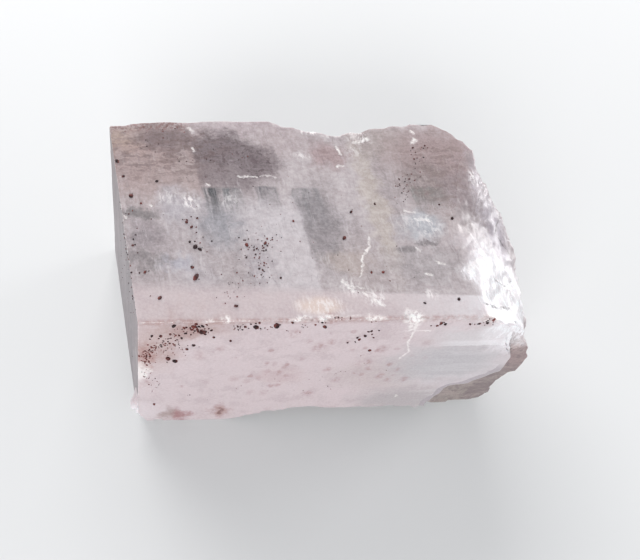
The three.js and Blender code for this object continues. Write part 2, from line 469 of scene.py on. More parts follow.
def patch_group():
    """A soft-edged patch: 1 inside an ellipsoid, fading to 0 across its edge."""
    build, given, result = new_group(
        "Patch",
        {
            "Place": ("Vector", (0, 0, 0)),
            "Centre": ("Vector", (0, 0, 0)),
            "Half size": ("Vector", (1, 1, 1)),
            "Edge": ("Float", 0.5),
            "Strength": ("Float", 1.0),
        },
        {"Mask": "Float"},
    )
    offset = build.vector("SUBTRACT", given["Place"], given["Centre"])
    distance = build.vector("LENGTH", build.vector("DIVIDE", offset, given["Half size"]))
    inner = build.math("SUBTRACT", 1.0, given["Edge"])
    outer = build.math("ADD", 1.0, given["Edge"])
    build.feed(result["Mask"], build.between(distance, inner, outer, given["Strength"], 0.0))
    return build.tree


def crack_group():
    """A thin straight line, given by its middle, direction and half length."""
    build, given, result = new_group(
        "Crack",
        {
            "Place": ("Vector", (0, 0, 0)),
            "Middle": ("Vector", (0, 0, 0)),
            "Direction": ("Vector", (1, 0, 0)),
            "Half length": ("Float", 1.0),
            "Width": ("Float", 0.2),
            "Strength": ("Float", 1.0),
        },
        {"Mask": "Float"},
    )
    offset = build.vector("SUBTRACT", given["Place"], given["Middle"])
    along = build.vector("DOT_PRODUCT", offset, given["Direction"])
    other_end = build.math("MULTIPLY", given["Half length"], -1.0)
    ends = {"Value": along, "Min": other_end, "Max": given["Half length"]}
    nearest = build.add("ShaderNodeClamp", ends).outputs[0]
    distance = build.vector("DISTANCE", offset, build.scale(given["Direction"], nearest))
    core = build.math("MULTIPLY", given["Width"], 0.35)
    build.feed(result["Mask"], build.between(distance, core, given["Width"], given["Strength"], 0.0))
    return build.tree


def drawn_noise_group():
    """Noise drawn out along the cleavage: bands, lamellae, striations and streaks."""
    build, given, result = new_group(
        "Drawn noise",
        {
            "Place": ("Vector", (0, 0, 0)),
            "Waves": ("Vector", (1, 0.1, 0.1)),
            "Detail": ("Float", 3.0),
            "Roughness": ("Float", 0.55),
            "Low": ("Float", 0.3),
            "High": ("Float", 0.7),
        },
        {"Mask": "Float", "Value": "Float"},
    )
    drawn = build.vector("MULTIPLY", given["Place"], given["Waves"])
    value = build.noise(drawn, 1.0, given["Detail"], given["Roughness"]).outputs[0]
    build.feed(result["Mask"], build.between(value, given["Low"], given["High"]))
    build.feed(result["Value"], value)
    return build.tree


def window_group():
    """The mask of a clear window between lamellae, for its painted shade: sharp at its back end, fading
    towards the front.
    """
    build, given, result = new_group(
        "Window",
        {
            "Place": ("Vector", (0, 0, 0)),
            "Left": ("Float", 0.0),
            "Right": ("Float", 3.0),
            "Back": ("Float", 26.0),
            "Fade": ("Float", 21.0),
            "Strength": ("Float", 1.0),
        },
        {"Mask": "Float"},
    )
    x, y, _ = build.add("ShaderNodeSeparateXYZ", {0: given["Place"]}).outputs
    left = build.between(build.math("SUBTRACT", x, given["Left"]), -0.3, 0.3)
    right = build.between(build.math("SUBTRACT", x, given["Right"]), -0.7, 0.7, 1.0, 0.0)
    back = build.between(build.math("SUBTRACT", y, given["Back"]), -0.3, 0.2, given["Strength"], 0.0)
    front = build.between(y, given["Fade"], given["Back"])
    mask = build.math("MULTIPLY", build.math("MULTIPLY", left, right), build.math("MULTIPLY", back, front))
    build.feed(result["Mask"], mask)
    return build.tree


def flecks_group():
    """Scattered soft round flecks, a share of them left out."""
    build, given, result = new_group(
        "Flecks",
        {
            "Place": ("Vector", (0, 0, 0)),
            "Spacing": ("Float", 3.0),
            "Radius": ("Float", 0.25),
            "Share": ("Float", 0.5),
        },
        {"Mask": "Float"},
    )
    cells = build.add(
        "ShaderNodeTexVoronoi",
        {"Vector": given["Place"], "Scale": build.math("DIVIDE", 1.0, given["Spacing"]), "Randomness": 1.0},
    )
    chance = build.add("ShaderNodeSeparateColor", {0: cells.outputs["Color"]}).outputs
    reach = build.math("MULTIPLY", given["Radius"], build.math("ADD", 0.4, chance[1]))
    dot = build.between(cells.outputs["Distance"], build.math("MULTIPLY", reach, 0.4), reach, 1.0, 0.0)
    kept = build.math("LESS_THAN", chance[0], given["Share"])
    build.feed(result["Mask"], build.math("MULTIPLY", dot, kept))
    return build.tree


# ---- The look of the stone ---------------------------------------------------------------------

# Stained, smoky and clear patches inside the stone, seen through the top face. Each has its centre
# and half size along the front edge and to the back, in millimetres, its colour and its strength.
TOP_PATCHES = [
    ((6.5, 33), (11, 9), "bbaaa7", 0.85),
    ((1.5, 37.5), (3.5, 2.5), "bfab9b", 0.5),
    ((10.5, 37.2), (5.2, 2.5), "8b7d7f", 0.75),
    ((3.4, 34.8), (2.6, 1.4), "c6b3ad", 0.6),
    ((12.8, 31), (1.8, 4.6), "c0b5b3", 0.65),
    ((11, 28.5), (4.5, 2.2), "c2b5b3", 0.7),
    ((25, 39.9), (11, 1.8), "c9bfc1", 0.8),
    ((31.5, 36.8), (5, 3), "c7bdbe", 0.8),
    ((40, 33.5), (3.4, 2.8), "b5a0a0", 0.7),
    ((50, 36), (5, 4), "b9b0ac", 0.6),
    ((60.5, 32.5), (9, 6.8), "b9a8a7", 0.85),
    ((56, 26.5), (5, 4.4), "aaa1a0", 0.7),
    ((45.6, 22), (1.9, 13), "d0c8c1", 0.7),
    ((24, 19.6), (14, 3.8), "cac6c9", 0.6),
    ((10, 23.4), (3.4, 3.4), "cac8cd", 0.65),
    ((2.9, 20.8), (3.4, 1.1), "8a8787", 0.7),
    ((4.4, 16.7), (4, 2.6), "aca4a7", 0.6),
    ((17, 18), (3.2, 4.6), "aeafb4", 0.7),
    ((3, 12), (5, 1.5), "9d9899", 0.7),
    ((8.5, 11.3), (2.4, 1.8), "cacad2", 0.7),
    ((11, 8.5), (3.5, 3), "cec9cc", 0.5),
    ((22.5, 11), (2.2, 4), "aba4aa", 0.5),
    ((34.8, 17.5), (3.6, 8), "a8a3a5", 0.85),
    ((37.8, 11), (3.5, 2), "cabfb6", 0.6),
    ((53, 17.8), (3.6, 2.8), "c5c9ce", 0.75),
    ((48.2, 12.8), (2.0, 0.9), "868384", 0.7),
    ((53.0, 13.8), (2.0, 0.7), "8a8788", 0.7),
    ((50.5, 9.8), (5.6, 3), "bbb6b7", 0.7),
    ((40, 9), (5, 5), "ccc3c2", 0.5),
    ((58.4, 18.2), (2.8, 3.8), "cfc6c6", 0.8),
    ((61.5, 14), (3.6, 4), "d2ccd0", 0.6),
    ((64, 24.5), (4, 5.5), "a99da0", 0.75),
    ((69, 20), (3.0, 6), "cdc8d0", 0.7),
    ((66.5, 29.0), (1.6, 4.5), "cfc9cf", 0.7),
]

# The smoky patch: centre along the front edge and to the back, half sizes and strength. Then its
# dark, dashed rim.
SMOKE = [
    (19.6, 34.8, 5.8, 4.3, 1.0),
    (26.0, 32.0, 4.4, 3.4, 1.0),
    (20.6, 29.6, 7.0, 4.2, 0.75),
]
SMOKE_RIM = [(19.6, 38.2, 5.4, 1.2), (23.6, 35.6, 3.2, 1.4), (17.2, 33.6, 2.6, 1.6), (26.2, 31.8, 0.8, 3.0)]

# Clear windows in the top, painted dark for the shade seen through the clear stone: left, right, back and
# fading front end, colour and strength.
WINDOWS = [
    (15.2, 18.4, 26.4, 17.5, "64686b", 1.0),
    (18.7, 22.2, 26.3, 19.0, "7d8183", 0.9),
    (24.9, 28.6, 26.6, 18.5, "78797d", 0.95),
    (31.4, 36.2, 26.2, 14.0, "898c8f", 0.6),
    (52.8, 58.7, 26.0, 19.5, "8b908b", 0.6),
    (0.9, 6.4, 17.4, 12.0, "9a9598", 0.5),
]

# The same as the patches, on the front face: along the front edge and down from it.
FRONT_PATCHES = [
    ((2.4, 8), (5, 6.5), "c9b3af", 0.6),
    ((9, 2.4), (7, 2.6), "c2aca8", 0.5),
    ((1.4, 10.4), (1.5, 3.4), "b98d86", 0.55),
    ((8.4, 3.0), (2.6, 1.6), "b79a96", 0.5),
    ((0.3, 15.6), (1.1, 3.2), "fbf6f4", 0.8),
    ((26.5, 18), (4.5, 3), "d2bebf", 0.5),
    ((45.5, 18), (8, 5), "c9bdbc", 0.5),
    ((57, 14.5), (10, 7), "c7c5c8", 0.85),
    ((58, 5.2), (7, 1.9), "dcd9db", 0.7),
    ((53, 28), (9, 4.5), "b7b3b4", 0.7),
    ((1.4, 31.5), (2.8, 4.0), "e4dcdf", 0.6),
    ((6.2, 32.8), (1.8, 2.6), "b3a19e", 0.8),
    ((8.6, 33.0), (1.7, 2.2), "ac7f80", 0.85),
    ((16.7, 32), (1.7, 2.2), "b3908c", 0.7),
    ((16.7, 32), (0.6, 1.0), "80524c", 0.7),
]

# Painted glints: where white streaks along the lamellae are painted in, bright as where they catch the light:
# centre, half size and strength.
PAINTED_GLINTS = [
    ((12.6, 23.3), (1.5, 1.7), 1.0),
    ((8.6, 24.6), (2.4, 1.4), 0.5),
    ((19.6, 23.8), (1.6, 1.6), 0.5),
    ((35, 33.3), (1.6, 0.8), 0.7),
    ((46.6, 36.8), (2, 1), 0.9),
    ((44.8, 34.2), (1.6, 1.4), 0.5),
    ((36.8, 6), (1.6, 1.8), 0.6),
    ((40.3, 4), (2, 1.6), 0.9),
    ((31, 2.6), (4.4, 1.7), 0.7),
    ((53.5, 17.4), (2.4, 2.2), 0.6),
    ((50, 19), (1.6, 2), 0.4),
    ((63, 19.8), (1.8, 1.6), 0.35),
    ((50, 4.2), (1, 0.8), 0.9),
    ((33.6, 40.5), (2.2, 0.7), 0.8),
    ((37.6, 38.9), (2.2, 0.6), 1.0),
    ((42.4, 38), (2.6, 0.5), 0.8),
    ((46.4, 38.3), (1.8, 0.6), 1.0),
    ((65.7, 28.5), (1.1, 1.3), 1.0),
    ((59.2, 8.4), (2.6, 1.6), 1.0),
    ((62.4, 13.6), (1.4, 2), 1.0),
]

# Little open cracks, white in the stone, with painted glints where some catch the light: ends along
# the front edge and to the back, in millimetres, width and strength.
TOP_CRACKS_AND_GLINTS = [
    ((42.3, 33.4), (41.9, 35.3), 0.42, 1.0),
    ((40.9, 30.9), (42, 30.8), 0.36, 1.0),
    ((45.8, 36.2), (48, 37.1), 0.55, 0.7),
    ((44.6, 38.4), (46.6, 38.6), 0.5, 0.8),
    ((57, 38.6), (57.3, 38.1), 0.5, 0.9),
    ((56.3, 36), (57, 36.6), 0.6, 0.9),
    ((15, 40), (15.4, 39.2), 0.6, 0.8),
    ((14.9, 35.3), (15.2, 34.6), 0.45, 0.8),
    ((22.3, 28.8), (25.4, 28.7), 0.3, 0.9),
    ((26.2, 28.9), (29, 28.6), 0.22, 0.6),
    ((5.1, 22.9), (5.4, 22.7), 0.34, 0.9),
    ((0.45, 20.6), (0.5, 20.2), 0.3, 0.9),
    ((16.3, 27.0), (16.5, 26.8), 0.3, 0.8),
    ((50.2, 20.9), (52, 20.5), 0.3, 0.7),
    ((51.6, 19), (54, 18.8), 0.34, 0.9),
    ((53.2, 18.8), (54.4, 19.6), 0.22, 0.7),
    ((50.2, 13.1), (50.6, 12.5), 0.36, 0.8),
    ((52.8, 10.3), (54, 10.1), 0.36, 0.8),
    ((50.4, 8.2), (51.2, 8), 0.3, 0.8),
    ((42.7, 15.8), (42, 13.8), 0.22, 0.7),
    ((42, 13.8), (40.7, 11.9), 0.28, 0.9),
    ((40.7, 11.9), (39.8, 9.9), 0.3, 0.9),
    ((39.8, 9.9), (38.8, 8), 0.22, 0.8),
    ((35.6, 7), (37.2, 5.2), 0.4, 0.8),
    ((36.4, 6.4), (39, 5.8), 0.22, 0.6),
    ((38.6, 4.9), (41.6, 2.4), 0.4, 0.8),
    ((39.4, 5.2), (42, 3.6), 0.22, 0.6),
    ((30, 0.5), (37, 0.7), 0.3, 0.4),
    ((61.4, 17.6), (63.6, 13.4), 0.5, 0.6),
    ((58, 8.8), (63, 13), 0.7, 0.7),
]

# The same on the front face: along the front edge and down from it.
FRONT_CRACKS = [
    ((47.0, 3.6), (47.2, 7.0), 0.26, 0.9),
    ((47.2, 7.0), (48.2, 9.8), 0.2, 0.75),
    ((48.2, 9.8), (47.4, 12.8), 0.24, 0.8),
    ((47.0, 3.8), (49.8, 3.6), 0.24, 0.8),
    ((51.0, 26.4), (51.4, 26.9), 0.4, 0.7),
]

# Fine dark cracks near the right end.
DARK_CRACKS = [
    ((71.8, 25.4), (68.4, 19.6), 0.16, 0.9),
    ((69.6, 19.6), (71.5, 16.1), 0.2, 0.9),
    ((63.8, 9.1), (66.6, 9.6), 0.22, 0.8),
    ((66.6, 9.6), (69.4, 11.4), 0.18, 0.7),
    ((58.4, 2.6), (61.0, 3.1), 0.24, 0.8),
    ((60.4, 3.0), (63.8, 4.0), 0.45, 0.8),
    ((63.4, 3.8), (66.4, 5.5), 0.3, 0.8),
]

# White bruises that run over the front edge: along, down, and half sizes along and across.
EDGE_BRUISES = [
    ((14.6, -0.2), (0.8, 0.8), 1.0),
    ((12.2, -0.2), (1.2, 0.35), 0.6),
    ((17.4, -0.1), (1.6, 0.3), 0.5),
    ((27.4, -0.2), (1.9, 0.6), 0.95),
    ((31.4, -0.2), (1.4, 0.6), 0.95),
    ((39.6, -0.1), (1.6, 0.6), 1.0),
    ((45.0, -0.9), (0.8, 1.5), 0.9),
    ((46.2, 0.5), (1.4, 0.9), 1.0),
    ((46.4, 2.4), (0.9, 1.5), 0.8),
    ((60.6, 0.6), (3.4, 1.0), 0.6),
]

# Rusty clots just under the front face: along, down, radius and strength.
CLOTS = [
    (32.2, 0.4, 1.0, 1.0),
    (33.6, 6.7, 0.6, 0.9),
    (31.8, 8.3, 1.0, 0.8),
    (29.6, 6.4, 0.5, 0.6),
    (26.7, 3.6, 0.9, 0.8),
    (43.1, 9.4, 0.8, 0.8),
    (42.0, 13.4, 0.5, 0.9),
    (42.7, 15.8, 0.5, 0.9),
    (45.5, 18.6, 0.7, 0.8),
    (47.3, 20.0, 0.5, 0.6),
    (50.7, 20.1, 0.7, 0.8),
    (37.7, 19.7, 0.6, 0.9),
    (35.0, 15.8, 0.6, 0.7),
    (33.3, 25.0, 0.8, 0.9),
    (46.1, 14.6, 0.5, 0.8),
    (48.2, 16.5, 0.5, 0.6),
    (50.5, 7.0, 0.8, 0.4),
    (29.5, 12.1, 0.4, 0.7),
    (40.6, 13.9, 1.0, 0.3),
    (23.5, 13.5, 0.5, 0.7),
    (24.9, 13.8, 0.6, 0.5),
    (26.8, 15.0, 0.6, 0.5),
    (24.0, 16.4, 0.5, 0.6),
    (26.1, 16.8, 0.6, 0.9),
    (28.1, 17.6, 0.5, 0.5),
    (22.8, 18.7, 0.6, 0.6),
    (18.3, 18.8, 0.8, 0.6),
    (20.5, 19.7, 0.6, 0.4),
    (25.6, 21.7, 0.5, 0.9),
    (22.0, 24.4, 0.8, 0.5),
    (24.4, 24.5, 0.8, 0.4),
    (14.6, 8.2, 0.7, 0.6),
    (11.0, 10.6, 1.0, 0.5),
    (12.8, 19.7, 0.5, 0.5),
    (8.3, 21.4, 0.4, 0.7),
    (1.8, 19.8, 1.0, 0.6),
    (59.0, 1.2, 0.9, 1.0),
]


# How far the places that the coats use move off the true one, in millimetres.
WANDER = 1.6
CRUMBLE = 1.1
DRIFT = 7.0


class Coats(Tree):
    """The stone's colour, laid on coat by coat, with the places and masks that the coats share.

    Nothing inside the stone has a clean outline, so only `place` is exact. `near` wanders a
    little, `ragged` more crisply, and `loose` by some millimetres. All but `ragged` are also split
    into the distance along the front edge (x), to the back (y) and down (z)."""

    def __init__(self, tree, block_place, patch):
        super().__init__(tree)
        self.colour = None
        self.patch, self.crack, self.drawn = patch, crack_group(), drawn_noise_group()
        position = self.add("ShaderNodeTexCoord").outputs["Object"]
        self.place = self.group(block_place, Position=position)["Place"]
        cloud = self.noise(self.place, 0.3, detail=4.0, roughness=0.62)
        crumble = self.noise(self.place, 1.5, detail=4.0, roughness=0.65)
        self.cloud, self.crumble = cloud.outputs[0], crumble.outputs[0]
        wander = self.vector("SUBTRACT", cloud.outputs["Color"], (0.5, 0.5, 0.5))
        jitter = self.vector("SUBTRACT", crumble.outputs["Color"], (0.5, 0.5, 0.5))
        self.streaks = self.group(self.drawn, Place=self.place, Waves=(0.85, 0.05, 0.05), Detail=4.0)["Value"]
        back_and_forth = self.math("MULTIPLY_ADD", self.streaks, 2.4, -1.2)
        pull = self.add("ShaderNodeCombineXYZ", {1: back_and_forth}).outputs[0]
        self.near = self.vector("ADD", self.place, self.scale(wander, WANDER))
        self.ragged = self.vector("ADD", self.near, self.scale(jitter, CRUMBLE))
        drifting = self.vector("ADD", self.place, self.scale(wander, DRIFT))
        self.loose = self.vector("ADD", drifting, pull)
        self.x, self.y, self.z = self.split(self.place)
        self.near_x, self.near_y, self.near_z = self.split(self.near)
        self.loose_x, self.loose_y, _ = self.split(self.loose)
        self.clotted = self.between(self.crumble, 0.44, 0.58)
        self.mottle = self.noise(self.near, 0.75, detail=5.0, roughness=0.7).outputs[0]
        self.spotted = self.between(self.mottle, 0.5, 0.62)
        self.dashes = self.streak(self.near, (0.4, 0.95, 0.3), 0.46, 0.64, 2.5)
        self.needles = self.streak(self.ragged, (2.0, 0.55, 0.5), 0.46, 0.6)

    def split(self, place):
        return self.add("ShaderNodeSeparateXYZ", {0: place}).outputs

    def attribute(self, name):
        return self.add("ShaderNodeAttribute", attribute_name=name).outputs["Fac"]

    def fade(self, value, start, end):
        """1 up to the start, and 0 from the end."""
        return self.between(value, start, end, 1.0, 0.0)

    def product(self, *masks):
        total = masks[0]
        for mask in masks[1:]:
            total = self.math("MULTIPLY", total, mask)
        return total

    def strongest(self, masks):
        """The strongest of several masks. They come from a generator, so that each is made just
        before it is used, which keeps the shader within its stack."""
        total = 0.0
        for mask in masks:
            total = self.math("MAXIMUM", total, mask)
        return total

    def streak(self, start, waves, low, high, detail=3.5, roughness=0.6):
        ends = {"Place": start, "Waves": waves, "Low": low, "High": high}
        return self.group(self.drawn, Detail=detail, Roughness=roughness, **ends)["Mask"]

    def spot(self, start, centre, half, edge=0.5, strength=1.0):
        ends = {"Place": start, "Centre": centre, "Half_size": half}
        return self.group(self.patch, Edge=edge, Strength=strength, **ends)["Mask"]

    def over(self, colour, tint, *masks):
        """A tint over a colour, where all the masks are strong. The tint is a code or a socket."""
        return self.mix(self.product(*masks), colour, shade(tint) if isinstance(tint, str) else tint)

    def lay(self, tint, *masks):
        self.colour = self.over(self.colour, tint, *masks)

    def lay_patches(self, patches, axis, depth):
        """Lays soft patches that reach in from a face. `axis` is the block axis they fade along."""
        for centre, half, tint, strength in patches:
            middle, size = list(centre), list(half)
            middle.insert(axis, 0)
            size.insert(axis, depth)
            self.lay(tint, self.spot(self.loose, middle, size, 0.6, strength))

    def cracks(self, listed, start, squash, axis=2):
        """The masks of straight cracks. `squash` sets how far each reaches down along the axes."""
        place = self.vector("MULTIPLY", start, squash)
        for first, last, width, strength in listed:
            first, last = list(first), list(last)
            first.insert(axis, 0)
            last.insert(axis, 0)
            run = (Vector(last) - Vector(first)) / 2
            ends = {"Middle": Vector(first) + run, "Direction": run.normalized(), "Half_length": run.length}
            yield self.group(self.crack, Place=place, Width=width, Strength=strength, **ends)["Mask"]


def lamellae(coats):
    """Milky and clearer lamellae, broad and fine, with the patches inside the stone."""
    broad = coats.streak(coats.place, (0.16, 0.03, 0.02), 0.36, 0.64, 3.0)
    fine = coats.streak(coats.near, (0.8, 0.07, 0.05), 0.35, 0.7, 5.0, 0.65)
    coats.colour = coats.mix(broad, shade("bbb3b4"), shade("cfc8c9"))
    coats.lay("dbd5d6", fine, 0.35)
    coats.lay_patches(TOP_PATCHES, axis=2, depth=14.0)


def smoky_patch(coats):
    """Cut off by a lamella on its left, mottled all over, and with a dashed rim."""
    parts = (coats.spot(coats.loose, (x, y, 0), (w, h, 14), 0.4, strength) for x, y, w, h, strength in SMOKE)
    smoke = coats.product(coats.strongest(parts), coats.between(coats.near_x, 14.4, 15.2))
    coats.lay("8e8386", smoke, 0.9)
    coats.lay("63575a", smoke, coats.spotted, 0.75)
    parts = (coats.spot(coats.loose, (x, y, 0), (w, h, 3)) for x, y, w, h in SMOKE_RIM)
    coats.lay("75686c", coats.strongest(parts), coats.dashes, 0.6)


def painted_dark_windows(coats):
    # Painted shade: the clear windows darkened for what shows through them.
    window = window_group()
    streaks = coats.between(coats.streak(coats.near, (1.1, 0.06, 0.05), 0.32, 0.6), 0.0, 1.0, 1.0, 0.45)
    for left, right, back, fading, tint, strength in WINDOWS:
        ends = {"Left": left, "Right": right, "Back": back, "Fade": fading, "Strength": strength}
        mask = coats.group(window, Place=coats.near, **ends)["Mask"]
        coats.lay(tint, mask, streaks, coats.fade(coats.z, 6.0, 16.0))


def sharp_lamella(coats):
    """One milky lamella with a sharp right side."""
    across = coats.between(coats.loose_x, 18.0, 27.0), coats.fade(coats.near_x, 31.4, 32.2)
    coats.lay("ddd8da", *across, coats.fade(coats.loose_y, 20.0, 26.0), 0.7)


def mottled_corners(coats):
    """Rusty blotches across the back left corner, and greyer ones by the back right corner with a
    frosted rim beside them."""
    left = coats.spot(coats.loose, (9, 35, 0), (11, 6, 14))
    blotches = coats.streak(coats.near, (0.32, 0.75, 0.3), 0.47, 0.6, 3.0, 0.62)
    coats.lay("877573", blotches, left, 0.55)
    coats.lay("857270", coats.dashes, left, 0.35)
    coats.lay("7e6b69", coats.spotted, left, 0.35)
    far_edge = coats.product(coats.between(coats.near_y, 38.6, 40.2), coats.fade(coats.near_x, 13.0, 16.0))
    coats.lay("8f6b66", far_edge, coats.fade(coats.z, 0.6, 2.5), coats.clotted, 0.7)
    right = coats.spot(coats.loose, (59.5, 28, 0), (8, 8.5, 14))
    coats.lay("94847f", blotches, right, 0.4)
    coats.lay("877675", coats.spotted, right, 0.5)
    coats.lay("cdc4c2", coats.streak(coats.near, (0.9, 0.35, 0.3), 0.55, 0.68, 4.0), right, 0.4)
    frosted = coats.spot(coats.loose, (67.6, 21.5, 3), (4.0, 8, 9), 0.4)
    coats.lay("dcd7dd", coats.clotted, frosted, 0.5)
    coats.lay("8f868c", coats.spotted, frosted, 0.45)


def clouds_and_wisps(coats):
    """Clouds, wisps drawn out along the lamellae, and faint lines across them."""
    dim = coats.mix(coats.between(coats.mottle, 0.32, 0.68), shade("757272"), shade("c5c1c2"))
    coats.colour = coats.mix(0.65, coats.colour, dim, blend="SOFT_LIGHT")
    cloudy = coats.between(coats.cloud, 0.42, 0.58)
    wispy = coats.product(cloudy, coats.between(coats.near_y, 26.0, 30.0, 1.0, 0.35))
    coats.lay("e2dddf", coats.streak(coats.near, (1.9, 0.14, 0.1), 0.54, 0.7), wispy, 0.4)
    coats.lay("8d8487", coats.streak(coats.near, (2.6, 0.2, 0.1), 0.56, 0.72, 4.0), 0.3)
    coats.lay("ddd6d7", coats.streak(coats.near, (0.12, 3.0, 0.2), 0.58, 0.72), 0.25)


def front_slab(coats):
    """The milky front slab, which ends on a flat parting behind the front face."""
    parting = coats.between(coats.x, 0.0, 60.0, 7.0, 3.9, smooth=False)
    softness = coats.between(coats.x, 10.0, 50.0, 1.8, 0.25)
    ends = (coats.math(way, parting, softness) for way in ("SUBTRACT", "ADD"))
    slab = coats.fade(coats.y, *ends)
    milk = coats.mix(coats.between(coats.loose_x, 35.0, 60.0), shade("d6cacb"), shade("e1dbdd"))
    milk = coats.over(milk, "f1eff2", coats.between(coats.loose_x, 52.0, 64.0), 0.85)
    lower = coats.product(coats.fade(coats.y, 0.6, 1.6), coats.between(coats.z, 0.2, 1.0))
    milk = coats.over(milk, "e0d3d6", lower, 0.7)
    veils = coats.streak(coats.loose, (0.2, 0.25, 0.32), 0.45, 0.66, 4.0, 0.65)
    milk = coats.over(milk, "c6b7ba", veils, 0.4)
    coats.lay(milk, slab, 0.95)
    coats.lay_patches(FRONT_PATCHES, axis=1, depth=3.4)


def flat_layering(coats):
    """Thin flat layers near the right end of the front face, one of them bright."""
    layered = coats.product(coats.between(coats.near_x, 50.0, 57.0), coats.fade(coats.y, 0.0, 1.0))
    coats.lay("e6e3e6", layered, coats.streak(coats.near, (0.03, 0.3, 0.75), 0.5, 0.58, 3.0), 0.2)
    bright_band = coats.product(coats.between(coats.near_z, 6.4, 7.4), coats.fade(coats.near_z, 8.6, 8.8))
    coats.lay("efedef", bright_band, layered, 0.6)


def rusty_stains(coats):
    """Rusty clots and dots just under the front face, and stains round the grains."""
    ragged = coats.ragged
    clots = (coats.spot(ragged, (x, 0, z), (r, 2, 1.15 * r), 0.95, strength) for x, z, r, strength in CLOTS)
    drawn_down = coats.vector("MULTIPLY", coats.place, (0.8, 1, 0.7))
    soft_clots = coats.between(coats.noise(drawn_down, 1.2, detail=4.0, roughness=0.6).outputs[0], 0.3, 0.62)
    coats.lay("a47571", coats.strongest(clots), soft_clots, 0.56)
    dots = coats.group(flecks_group(), Place=coats.near, Spacing=1.9, Radius=0.3, Share=0.4)["Mask"]
    coats.lay("ab8280", dots, coats.spot(coats.loose, (30, 0, 13), (18, 4, 13)), 0.4)
    left_end = coats.spot(ragged, (3, 0, 8.5), (4, 2, 3.2), 0.6)
    along_edge = coats.spot(ragged, (9, 0, 2.4), (5, 2, 1.8), 0.6)
    coats.lay("a37b72", coats.math("MAXIMUM", left_end, along_edge), soft_clots, 0.3)
    front_edge = coats.product(coats.fade(coats.z, 0.2, 1.5), coats.fade(coats.y, 0.2, 0.8))
    coats.lay("a97f76", front_edge, soft_clots, 0.4)


def fan_and_painted_glints(coats):
    """A peach fan of open parting over the front edge, and painted glints: white needles along the lamellae
    where they catch the light.
    """
    coats.lay("eedccf", coats.spot(coats.near, (30.6, 2.6, 0), (3.6, 1.5, 2)), 0.55)
    # Painted glints: near-white needles laid in the glint spots.
    glint_spots = (
        coats.spot(coats.near, (x, y, 0), (w, h, 3), 0.6, strength)
        for (x, y), (w, h), strength in PAINTED_GLINTS
    )
    coats.lay("f4efef", coats.strongest(glint_spots), coats.needles)


def bare_layers(coats):
    """The layers laid bare at the lower right: first greyish lilac, then tan with a pale spot."""
    low = coats.product(coats.between(coats.x, 54.0, 57.0), coats.between(coats.z, 5.5, 8.0))
    first = coats.product(coats.between(coats.y, 0.3, 0.4), coats.fade(coats.y, 0.9, 1.2))
    second = coats.product(coats.between(coats.y, 1.0, 1.4), coats.fade(coats.y, 2.4, 3.4))
    coats.lay("b8b2b6", first, low, coats.between(coats.z, 15.0, 18.0), 0.8)
    tan = coats.mix(coats.between(coats.near_x, 66.4, 67.2), shade("a09590"), shade("8a7c7b"))
    tan = coats.over(tan, "a08c8b", coats.fade(coats.near_z, 17.0, 23.0))
    tan = coats.over(tan, "b8aba7", coats.streak(coats.near, (0.25, 0.4, 0.9), 0.42, 0.62), 0.4)
    tan = coats.over(tan, "776767", coats.spotted, 0.5)
    coats.lay(tan, second, low, 0.95)
    coats.lay("d8c8c6", coats.spot(coats.ragged, (69.2, 1.8, 12), (1.1, 2, 2.0)), coats.clotted, 0.75)


def shaded_left_face_and_nub(coats, left, broken):
    """The left face is greyer and darker, painted shade where it faces away from the light, and shows the
    layers from their side. The nub below it is white.
    """
    sheets = coats.streak(coats.loose, (0.05, 0.55, 0.05), 0.36, 0.66, 4.0, 0.65)
    side = coats.mix(sheets, shade("7d767b"), shade("a39b9f"))
    side = coats.over(side, "6f686c", coats.spotted, 0.5)
    # Painted shade: the left face darkened against the rest of the stone.
    coats.lay(side, left, 0.72)
    coats.lay("f5f1f4", coats.spot(coats.place, (-1.5, 3, 33), (4.5, 6, 5.5), 0.2), broken, 0.9)


def shoulder_white_and_glare(coats):
    """The broken shoulder is crazed and white, partly its own crushed white and partly painted glare, and
    feathers out over the top face.
    """
    shoulder = coats.spot(coats.loose, (67, 6, 3), (9, 10, 9), 0.25)
    feathers = coats.spot(coats.ragged, (59.4, 8.4, 0), (3.0, 1.7, 2))
    reach = coats.between(coats.needles, 0.0, 1.0, 0.55, 1.0)
    # Painted glare over the shoulder's own crushed white.
    coats.lay("fbfafd", coats.math("MAXIMUM", shoulder, feathers), reach)


def cracks_bruises_and_glints(coats, worn):
    """White bruises and crushed rims, then open cracks with painted glints on some, and dark cracks."""
    white = "fdf9f7"
    bruises = (
        coats.spot(coats.ragged, (x, 0, z), (w, 1.4 * h, h), 0.5, strength)
        for (x, z), (w, h), strength in EDGE_BRUISES
    )
    crushed = coats.product(coats.strongest(bruises), coats.between(coats.crumble, 0.42, 0.53, 0.12, 1.0))
    rim = coats.product(worn, coats.between(coats.crumble, 0.5, 0.62, 0.0, 0.8))
    coats.lay(white, coats.math("MAXIMUM", crushed, rim))
    # Open cracks on the top, some of them painted glints.
    top_cracks_and_glints = coats.strongest(coats.cracks(TOP_CRACKS_AND_GLINTS, coats.ragged, (1, 1, 0.12)))
    coats.lay(white, top_cracks_and_glints, coats.between(coats.clotted, 0.0, 1.0, 0.45, 0.9))
    in_front = coats.strongest(coats.cracks(FRONT_CRACKS, coats.ragged, (1, 0.3, 1), axis=1))
    coats.lay(white, in_front, coats.between(coats.clotted, 0.0, 1.0, 0.5, 0.9))
    dark = coats.strongest(coats.cracks(DARK_CRACKS, coats.near, (1, 1, 0)))
    broken_up = coats.between(coats.clotted, 0.0, 1.0, 0.35, 1.0)
    coats.lay("6f6a6b", dark, coats.fade(coats.z, 8.0, 9.5), broken_up)


